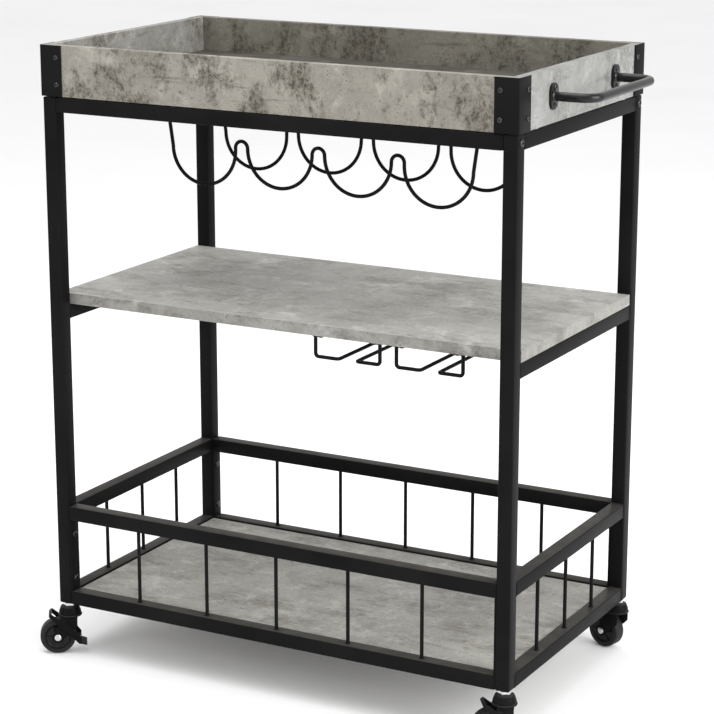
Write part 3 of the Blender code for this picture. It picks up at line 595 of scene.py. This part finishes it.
def weld_collar(point, axis):
    """Small fillet round a wire's foot."""
    radius = WIRE_RADIUS
    profile = [(radius * 0.9, 0.0022), (radius * 1.08, 0.0014), (radius * 1.35, 0.0006),
               (radius * 1.75, 0.0), (radius * 1.75, -0.0002), (radius * 0.9, -0.0002)]
    return moved(lathe(profile, 20), Matrix.Translation(point) @ axis_matrix(axis))


# ---------------------------------------------------------------- frame

def make_tubes():
    """Rounded skins over the posts, the side frames' rails and the top rails."""
    for name, _, _ in CORNERS:
        low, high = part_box("post_" + name)
        foot = block((low.x + 0.0013, low.y + 0.0013, low.z + 0.0003),
                     (high.x - 0.0013, high.y - 0.0013, low.z + 0.004))
        tube = block(low + Vector((0, 0, 0.0008)), high, TUBE_EDGE)
        piece(f"post_{name}_tube", [tube, foot], STEEL, "cart", ["post_" + name])
    for _, side in SIDES:
        for level in ("bottom", "middle", "top"):
            node = f"{side}_{level}_cross_rail"
            low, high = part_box(node)
            piece(node + "_tube", [block(low, high, TUBE_EDGE)], STEEL, "cart", [node])
    for _, row in ROWS:
        node = row + "_top_rail"
        low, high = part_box(node)
        piece(node + "_tube", capped_rail(low, high), STEEL, "cart", [node])


def capped_rail(low, high):
    """Rail with a slightly smaller end plate at each end, which leaves a fine line at the post."""
    inset = Vector((0, 0.0004, 0.0004))
    rail = block(low + Vector((PLATE, 0, 0)), high - Vector((PLATE, 0, 0)), TUBE_EDGE)
    left = block(low + inset, Vector((low.x + PLATE + 0.0004, high.y, high.z)) - inset, SHEET_EDGE, 2)
    right = block(Vector((high.x - PLATE - 0.0004, low.y, low.z)) + inset, high - inset, SHEET_EDGE, 2)
    return [rail, left, right]


def make_side_baskets():
    """Each side's guard rail with its three wires."""
    for sx, side in SIDES:
        node = f"{side}_guard_cross_rail"
        low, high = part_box(node)
        x = sx * POST_X
        foot, head = FRAME_LOW + TUBE, GUARD_RAIL_Z
        places = [(x, i * SIDE_WIRE_PITCH) for i in (-1, 0, 1)]
        solids = [block((low.x, low.y, head), high, TUBE_EDGE)]
        for px, py in places:
            solids += [weld_collar((px, py, foot), (0, 0, 1)), weld_collar((px, py, head), (0, 0, -1))]
        piece(node + "_tube", solids, STEEL, "cart", [node])
        rods(f"{side}_basket_wires", [[(px, py, foot), (px, py, head)] for px, py in places], WIRE_RADIUS,
             STEEL, "cart")


def make_lower_panels():
    """Front and rear panels: two rails, end plates, five wires with weld collars, and shelf tabs."""
    foot, head = FRAME_LOW + TUBE, GUARD_RAIL_Z
    for sy, row in ROWS:
        node = row + "_lower_panel"
        low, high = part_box(node)
        near, far = sorted((sy * HALF_Y, sy * (HALF_Y - TUBE)))
        solids = []
        for z in (FRAME_LOW, GUARD_RAIL_Z):
            solids += capped_rail(Vector((low.x, near, z)), Vector((high.x, far, z + TUBE)))
        for sx, _ in SIDES:
            outer = sx * high.x
            left, right = sorted((outer, outer - sx * PLATE))
            solids.append(block((left, near + 0.0005, foot - 0.0005),
                                (right, far - 0.0005, head + 0.0005), 0.0003, 2))
        for x in SHELF_TAB_PLACES:
            tab_near, tab_far = sorted((sy * (HALF_Y - TUBE + 0.0005),
                                        sy * (HALF_Y - TUBE - SHELF_TAB_SIZE[1])))
            solids.append(block((x - SHELF_TAB_SIZE[0] / 2, tab_near, BOTTOM_SHELF_Z - GAP - PLATE),
                                (x + SHELF_TAB_SIZE[0] / 2, tab_far, BOTTOM_SHELF_Z - GAP), SHEET_EDGE, 2))
        wires = [i * PANEL_WIRE_PITCH for i in range(-2, 3)]
        for x in wires:
            solids += [weld_collar((x, sy * POST_Y, foot), (0, 0, 1)),
                       weld_collar((x, sy * POST_Y, head), (0, 0, -1))]
        piece(node + "_frame", solids, STEEL, "cart", [node])
        rods(row + "_panel_wires", [[(x, sy * POST_Y, foot), (x, sy * POST_Y, head)] for x in wires],
             WIRE_RADIUS, STEEL, "cart")


def make_welds():
    """Fine weld beads where the side frames' rails meet the posts."""
    routes = []
    for sx, _ in SIDES:
        for low in (FRAME_LOW, GUARD_RAIL_Z, SHELF_UNDERSIDE - GAP - TUBE, TOP_RAIL_Z):
            for sy, _ in ROWS:
                centre = (sx * POST_X, sy * (HALF_Y - TUBE), low + TUBE / 2)
                routes.append(weld_ring(centre, (0, -sy, 0), TUBE / 2 - 0.0004))
    rods("side_frame_welds", routes, 0.0010, STEEL, "cart", cyclic=True, swell=weld_swell, resolution=2)


def make_frame_screws():
    bolts = [(Vector((sx * HALF_X, sy * POST_Y, TOP_RAIL_Z + TUBE / 2)), Vector((sx, 0, 0)))
             for _, sx, sy in CORNERS]
    screws("top_rail_bolt_heads", bolts, TOP_RAIL_HEAD, "cart",
           ["top_rail_bolt_" + name for name, _, _ in CORNERS])
    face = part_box("front_lower_panel")[1].x - PLATE
    panel = [(Vector((sx * face, sy * POST_Y, z)), Vector((-sx, 0, 0)))
             for sx, _ in SIDES for sy, _ in ROWS for z in PANEL_SCREW_HEIGHTS]
    screws("panel_screw_heads", panel, PANEL_HEAD, "cart")
    strap_face = STRAP_HIGH.y - STRAP_SHEET
    straps = [(Vector((sx * STRAP_X, sy * strap_face, FRAME_TOP - STRAP_SCREW_DROP)), Vector((0, -sy, 0)))
              for sx, _ in SIDES for sy, _ in ROWS]
    screws("strap_screw_heads", straps, STRAP_HEAD, "cart")
    middle_z = SHELF_UNDERSIDE - GAP - TUBE
    middle = [(Vector((sx * POST_X, sy * MIDDLE_SHELF_SCREW_Y, middle_z)), Vector((0, 0, -1)))
              for sx, _ in SIDES for sy, _ in ROWS]
    screws("middle_shelf_screw_heads", middle, MIDDLE_SHELF_HEAD, "cart")
    tab_y = HALF_Y - TUBE - SHELF_TAB_SIZE[1] / 2
    bottom = [(Vector((x, sy * tab_y, BOTTOM_SHELF_Z - GAP - PLATE)), Vector((0, 0, -1)))
              for x in SHELF_TAB_PLACES for sy, _ in ROWS]
    screws("bottom_shelf_screw_heads", bottom, SHELF_TAB_HEAD, "cart")


# ---------------------------------------------------------------- wine rack and stemware rails

def cradle_route():
    """Route of one rack wire in the X-Z plane: four cradles joined by three narrow loops."""
    centre_z = TOP_RAIL_Z - CRADLE_CENTRE_DROP
    loop_radius = BOTTLE_PITCH / 2 - CRADLE_RADIUS
    route = [(-STRAP_X, STRAP_LOW.z)]
    for i in range(4):
        x = (i - 1.5) * BOTTLE_PITCH
        z = centre_z - (END_CRADLE_DROP if i in (0, 3) else 0.0)
        route += arc((x, z), CRADLE_RADIUS, 180, 360, 36)
        if i < 3:
            route += arc((x + BOTTLE_PITCH / 2, centre_z), loop_radius, 176, 4, 14)
    return route + [(STRAP_X, STRAP_LOW.z)]


def make_wine_rack():
    for sy, row in ROWS:
        points = [(x, sy * RACK_ROW_Y, z) for x, z in cradle_route()]
        rods(f"wine_rack_{row}_bent_wire", [points], WIRE_RADIUS, STEEL, "cart", [f"wine_rack_{row}_wire"])
    for sx, side in SIDES:
        node = f"wine_rack_{side}_strap"
        low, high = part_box(node)
        bar = block(low, (high.x, high.y, low.z + STRAP_SHEET), SHEET_EDGE, 2)
        ends = [block((low.x, y, low.z), (high.x, y + STRAP_SHEET, high.z), SHEET_EDGE, 2)
                for y in (low.y, high.y - STRAP_SHEET)]
        collars = [weld_collar((sx * STRAP_X, sy * RACK_ROW_Y, low.z), (0, 0, -1)) for sy, _ in ROWS]
        piece(node + "_bar", [bar] + ends + collars, STEEL, "cart", [node])


def make_stemware_rails():
    top = SHELF_UNDERSIDE - GAP - PLATE
    low = SHELF_UNDERSIDE - STEM_DROP
    front, back = STEM_ROWS
    seats = []
    for centre, slot in zip(STEM_SLOT_CENTRES, ("inner_slot", "outer_slot")):
        for side, hand in SIDES:
            leg = centre + side * STEM_LEG_HALF
            rail = centre + side * STEM_SLOT_HALF
            corners = [(leg, front, top), (leg, front, low), (rail, front, low),
                       (rail, back, low), (leg, back, low), (leg, back, top)]
            node = f"stemware_{slot}_{hand}_rail"
            rods(node + "_wire", [bent_path(corners, STEM_BEND)], WIRE_RADIUS, STEEL, "cart", [node])
            solids = []
            for y in STEM_ROWS:
                seat_x = centre + side * (STEM_LEG_HALF - STEM_SCREW_SETBACK)
                seats.append((Vector((seat_x, y, top)), Vector((0, 0, -1))))
                tab = extruded(stadium(*STEM_TAB_SIZE), PLATE, 0.0003)
                tab = moved(tab, Matrix.Rotation(math.pi / 2, 4, "Z"))
                solids.append(moved(tab, Matrix.Translation((seat_x + side * 0.003, y, top + PLATE / 2))))
                solids.append(weld_collar((leg, y, top), (0, 0, -1)))
            piece(node + "_tabs", solids, STEEL, "cart")
    screws("stemware_screw_heads", seats, STEM_HEAD, "cart")


# ---------------------------------------------------------------- tray

def make_tray_brackets():
    """Folded corner brackets with a rounded bend, and their screws."""
    seats = []
    for name, sx, sy in CORNERS:
        face_x, face_y, out, bend = HALF_X + GAP, HALF_Y + GAP, BRACKET_SHEET, BRACKET_BEND
        outline = [(face_x, HALF_Y - BRACKET_LEG), (face_x + out, HALF_Y - BRACKET_LEG)]
        outline += arc((face_x + out - bend, face_y + out - bend), bend, 0, 90, 8)
        outline += [(HALF_X - BRACKET_LEG, face_y + out), (HALF_X - BRACKET_LEG, face_y), (face_x, face_y)]
        outline = [(sx * x, sy * y) for x, y in outline]
        if sx * sy < 0:
            outline.reverse()
        sheet = extruded(outline, TRAY_TOP - TRAY_BOTTOM, 0.0003)
        sheet = moved(sheet, Matrix.Translation((0, 0, TRAY_MIDDLE_Z)))
        piece(f"tray_bracket_{name}_folded", [sheet], STEEL, "tray", ["tray_bracket_" + name])
        for up in (-1, 1):
            z = TRAY_MIDDLE_Z + up * BRACKET_SCREW_HALF_SPACING
            front_seat = Vector((sx * (HALF_X - BRACKET_SCREW_INSET), sy * (face_y + out), z))
            side_seat = Vector((sx * (face_x + out), sy * (HALF_Y - BRACKET_SCREW_INSET), z))
            seats += [(front_seat, Vector((0, sy, 0))), (side_seat, Vector((sx, 0, 0)))]
    screws("tray_bracket_screw_heads", seats, BRACKET_HEAD, "tray")


def make_handles():
    """Round-bar handles with oval flanges, a weld at each foot, and their screws."""
    upright = Matrix(((0, 0, 1), (1, 0, 0), (0, 1, 0))).to_4x4()
    seats = []
    for sx, side in SIDES:
        face = sx * (HALF_X + GAP)
        outer = sx * (HALF_X + GAP + FLANGE_THICKNESS)
        outline = ((face, -1), (sx * HANDLE_X, -1), (sx * HANDLE_X, 1), (face, 1))
        corners = [(x, end * HANDLE_HALF_SPAN, TRAY_MIDDLE_Z) for x, end in outline]
        rods(f"tray_{side}_handle_bar", [bent_path(corners, HANDLE_BEND, 14)], HANDLE_ROD_RADIUS,
             HANDLE_BLACK, "tray", [f"tray_{side}_handle"], resolution=10)
        solids = []
        for sy, _ in ROWS:
            middle = (sx * (HALF_X + GAP + FLANGE_THICKNESS / 2), sy * HANDLE_HALF_SPAN, TRAY_MIDDLE_Z)
            flange = extruded(stadium(*FLANGE_SIZE), FLANGE_THICKNESS, 0.0010, 3)
            solids.append(moved(flange, Matrix.Translation(middle) @ upright))
            fillet = lathe([(0.0059, 0.0022), (0.0066, 0.0012), (0.0080, 0.0), (0.0080, -0.0004),
                            (0.0059, -0.0004)], 32)
            foot = (outer, sy * HANDLE_HALF_SPAN, TRAY_MIDDLE_Z)
            solids.append(moved(fillet, Matrix.Translation(foot) @ axis_matrix((sx, 0, 0))))
            for up in (-1, 1):
                z = TRAY_MIDDLE_Z + up * FLANGE_SCREW_OFFSET
                seats.append((Vector((outer, sy * HANDLE_HALF_SPAN, z)), Vector((sx, 0, 0))))
        piece(f"tray_{side}_handle_flanges", solids, HANDLE_BLACK, "tray")
    screws("handle_screw_heads", seats, HANDLE_HEAD, "tray")


# ---------------------------------------------------------------- casters

def caster_headings():
    """The way each caster's fork points at rest, from its wheel's axle."""
    headings = {}
    for joint in frame["joints"]:
        if joint["name"].startswith("wheel_roll_"):
            axis = joint["axis"]
            headings[joint["name"].removeprefix("wheel_roll_")] = math.atan2(-axis[0], axis[1])
    return headings


def side_plate(outline, thickness, middle_y, bevel=0.0004, holes=()):
    """Plate parallel to the caster's rolling plane, at a distance to one side of it."""
    upright = Matrix(((1, 0, 0), (0, 0, -1), (0, 1, 0))).to_4x4()
    plate = extruded(outline, thickness, bevel, 2, holes)
    return moved(plate, Matrix.Translation((0, middle_y, 0)) @ upright)


def make_stem(name, spot):
    """Upper raceway with its king pin, the nut above it, and the plug in the post's foot."""
    race_low = FORK_CROWN_Z + FORK_SHEET + GAP
    collar = FRAME_LOW - GAP
    race = [(0.0085, collar - 0.0042), (0.0105, collar - 0.0050), (0.0130, collar - 0.0066),
            (0.0148, race_low + 0.0058), (0.0156, race_low + 0.0035), (0.0156, race_low + 0.0006),
            (0.0150, race_low), (0.0040, race_low), (0.0040, collar - 0.0042)]
    nut = extruded(circle((0, 0), 0.0098, 6), 0.0042, 0.0004, 2)
    nut = moved(nut, Matrix.Translation((0, 0, collar - 0.0021)))
    pin = [(0.0, race_low), (0.0040, race_low), (0.0040, FORK_CROWN_Z - GAP), (0.0065, FORK_CROWN_Z - GAP),
           (0.0063, FORK_CROWN_Z - 0.0012), (0.0050, FORK_CROWN_Z - 0.0022), (0.0, FORK_CROWN_Z - 0.0025)]
    low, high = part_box("post_" + name)
    plug = block((low.x + 0.0012, low.y + 0.0012, low.z),
                 (high.x - 0.0012, high.y - 0.0012, low.z + 0.006))
    piece(f"caster_stem_{name}_race", [moved(lathe(race, 40), spot), moved(lathe(pin, 24), spot)], STEEL,
          "cart", ["caster_stem_" + name])
    piece(f"caster_stem_{name}_nut", [moved(nut, spot)], ZINC, "cart")
    piece(f"post_plug_{name}", [plug], PLUG, "cart")


def make_fork(name, spot):
    """Crown and two legs, with a boss at each end of the axle and a stud for the brake."""
    axle = (-CASTER_TRAIL, WHEEL_RADIUS)
    crown = [(0.0043, FORK_CROWN_Z + FORK_SHEET), (0.0158, FORK_CROWN_Z + FORK_SHEET),
             (0.0168, FORK_CROWN_Z + FORK_SHEET * 0.7), (0.0170, FORK_CROWN_Z + FORK_SHEET * 0.3),
             (0.0167, FORK_CROWN_Z), (0.0043, FORK_CROWN_Z)]
    leg = [(-0.0105, FORK_CROWN_Z + 0.0010), (0.0105, FORK_CROWN_Z + 0.0010), (0.0100, 0.0500)]
    leg += arc((0.0045, 0.0435), 0.0055, 10, -50, 4) + arc(axle, 0.008, -35, -195, 16)
    solids = [lathe(crown, 40)]
    for side, _ in SIDES:
        solids.append(side_plate(leg, FORK_SHEET, side * (FORK_LEG_INNER + FORK_SHEET / 2)))
        boss = lathe([(0.0058, 0.0004), (0.0062, 0.0), (0.0062, -0.0004), (0.0033, -0.0004),
                      (0.0033, 0.0004)], 28)
        face = (axle[0], side * (FORK_LEG_INNER + FORK_SHEET), axle[1])
        solids.append(moved(boss, Matrix.Translation(face) @ axis_matrix((0, side, 0))))
        if "front" in name:
            stud = lathe([(0.0, 0.0022), (0.0020, 0.0021), (0.0025, 0.0017), (0.0025, -0.001),
                          (0.0, -0.001)], 24)
            spot_on_leg = (BRAKE_PIVOT[0], side * (FORK_LEG_INNER + FORK_SHEET), BRAKE_PIVOT[1])
            solids.append(moved(stud, Matrix.Translation(spot_on_leg) @ axis_matrix((0, side, 0))))
    piece(f"caster_fork_{name}_pressing", [moved(bm, spot) for bm in solids], STEEL, "caster_" + name,
          ["caster_fork_" + name])


def mirrored(profile):
    """A turned profile's other half, below its middle plane."""
    return [(radius, -height) for radius, height in reversed(profile)]


def make_wheel(name, spot):
    """Tyre, ribbed hub and axle rivet."""
    half, r = WHEEL_HALF, WHEEL_RADIUS
    shoulder = arc((r - 0.0026, half - 0.0026), 0.0026, 90, 15, 5)
    side = [(0.0186, half - 0.0006), (0.0190, half)] + shoulder
    bore = [(0.0180, -half + 0.002), (0.0180, half - 0.002)]
    tread = side + [(r, 0.0028), (r, -0.0028)] + mirrored(side) + bore
    hub_side = [(0.0034, half + 0.0012), (0.0066, half + 0.0012), (0.0072, half + 0.0006),
                (0.0074, half - 0.0016), (0.0090, half - 0.0024), (0.0150, half - 0.0024),
                (0.0168, half - 0.0016), (0.0178, half - 0.0002), (0.0184, half - 0.0004)]
    hub = hub_side + mirrored(hub_side)
    place = spot @ Matrix.Translation((-CASTER_TRAIL, 0, WHEEL_RADIUS)) @ Matrix.Rotation(math.pi / 2, 4, "X")
    ribs = []
    for turn in range(6):
        for face in (-1, 1):
            low, high = sorted((face * (half - 0.0026), face * (half - 0.0012)))
            rib = block((0.0070, -0.0008, low), (0.0172, 0.0008, high), 0.0003, 2)
            ribs.append(moved(rib, Matrix.Rotation(turn * math.pi / 3, 4, "Z")))
    piece(f"caster_tyre_{name}", [moved(lathe(tread, 72), place)], TREAD, "wheel_" + name,
          ["caster_wheel_" + name])
    piece(f"caster_hub_{name}", [moved(bm, place) for bm in [lathe(hub, 64)] + ribs], POLYMER,
          "wheel_" + name)
    face = FORK_LEG_INNER + FORK_SHEET + GAP
    end = [(0.0, face + 0.0021), (0.0022, face + 0.0020), (0.0038, face + 0.0015), (0.0047, face + 0.0006),
           (0.0048, face), (0.0030, face)]
    rivet = lathe(end + mirrored(end), 32)
    piece(f"caster_axle_{name}_rivet", [moved(rivet, place)], ZINC, "caster_" + name,
          ["caster_axle_" + name])


def make_brake(name, spot):
    """Rocker with two cheeks, a ribbed pedal in front and a release tab behind."""
    middle_y = FORK_LEG_INNER + FORK_SHEET + GAP + BRAKE_SHEET / 2
    outline = arc(BRAKE_PIVOT, BRAKE_HUB_RADIUS, 40, 120, 8)
    outline += [(-0.0255, 0.0600), (-0.0300, 0.0570), (-0.0170, 0.0440)]
    outline += arc(BRAKE_PIVOT, BRAKE_HUB_RADIUS, 215, 250, 4)
    outline += [(0.0120, 0.0150), (0.0150, 0.0150), (0.0150, 0.0250), (0.0050, 0.0380)]
    solids = [side_plate(outline, BRAKE_SHEET, side * middle_y, 0.0003, [circle(BRAKE_PIVOT, 0.0028, 20)])
              for side, _ in SIDES]
    across = 2 * middle_y
    pedal = [(0.0122, 0.0235), (0.0137, 0.0235), (0.0140, 0.0165), (0.0230, 0.0140), (0.0226, 0.0125),
             (0.0126, 0.0153)]
    release = [(-0.0258, 0.0592), (-0.0268, 0.0604), (-0.0302, 0.0573), (-0.0292, 0.0560)]
    solids += [side_plate(pedal, across, 0.0, 0.0004), side_plate(release, across, 0.0, 0.0003)]
    slope = Vector((0.0230 - 0.0140, 0.0140 - 0.0165)).normalized()
    for i in range(4):
        at = Vector((0.0158, 0.0162)) + slope * (PEDAL_RIB_PITCH * i)
        rib = block((-0.0004, -across / 2 + 0.0012, 0.0), (0.0004, across / 2 - 0.0012, 0.0007))
        lean = Matrix.Rotation(0.27, 4, "Y")
        solids.append(moved(rib, Matrix.Translation((at.x, 0, at.y - 0.0003)) @ lean))
    piece(f"caster_brake_{name}_lever", [moved(bm, spot) for bm in solids], STEEL, "brake_" + name,
          ["caster_brake_" + name])


def make_casters():
    headings = caster_headings()
    for name, sx, sy in CORNERS:
        spot = Matrix.Translation((sx * POST_X, sy * POST_Y, 0)) @ Matrix.Rotation(headings[name], 4, "Z")
        make_stem(name, spot)
        make_fork(name, spot)
        make_wheel(name, spot)
        if sy < 0:
            make_brake(name, spot)


# ---------------------------------------------------------------- floor, light and camera

def make_floor():
    bpy.ops.mesh.primitive_plane_add(size=60.0, location=(0, 0, -0.0005))
    floor = bpy.context.object
    floor.name = "studio_floor"
    material, tree, shader = start_material("pale_floor")
    tone = ramp(tree, noise(tree, place_vector(tree), 1.5), ((0.3, 0.90), (0.7, 0.93)))
    tree.links.new(tone, shader.inputs["Base Color"])
    shader.inputs["Roughness"].default_value = 0.9
    shader.inputs["Specular IOR Level"].default_value = 0.1
    floor.data.materials.append(material)


def area_light(name, position, target, size, power):
    light = bpy.data.lights.new(name, "AREA")
    light.shape = "RECTANGLE"
    light.size, light.size_y = size
    light.energy = power
    obj = bpy.data.objects.new(name, light)
    obj.location = position
    obj.rotation_euler = (Vector(target) - Vector(position)).to_track_quat("-Z", "Y").to_euler()
    bpy.context.scene.collection.objects.link(obj)


def make_light():
    world = bpy.data.worlds.new("studio_world")
    world.use_nodes = True
    world.node_tree.nodes["Background"].inputs["Color"].default_value = (1.0, 1.0, 1.0, 1.0)
    world.node_tree.nodes["Background"].inputs["Strength"].default_value = 0.95
    bpy.context.scene.world = world
    bpy.context.scene.view_settings.view_transform = "Standard"
    area_light("right_softbox", (3.0, -0.4, 1.6), (0, 0, 0.5), (2.0, 2.2), 95)
    area_light("top_softbox", (-0.3, -0.3, 3.2), (0, 0, 0.4), (2.6, 2.0), 50)
    area_light("front_softbox", (-1.6, -3.4, 1.8), (0, 0, 0.4), (1.8, 1.8), 20)


def make_camera():
    camera = bpy.data.cameras.new("photo_camera")
    camera.lens = CAMERA_LENS
    camera.sensor_width = 36.0
    obj = bpy.data.objects.new("photo_camera", camera)
    obj.location = CAMERA_PLACE
    obj.rotation_euler = (math.radians(CAMERA_PITCH), 0, math.radians(CAMERA_HEADING))
    bpy.context.scene.collection.objects.link(obj)
    bpy.context.scene.camera = obj


make_camera()
make_tubes()
make_side_baskets()
make_lower_panels()
make_welds()
make_frame_screws()
make_wine_rack()
make_stemware_rails()
make_tray_brackets()
make_handles()
make_casters()
for node, laminate in BOARDS.items():
    frame["nodes"][node].data.materials.clear()
    frame["nodes"][node].data.materials.append(laminate)
make_floor()
make_light()
bpy.context.view_layer.update()
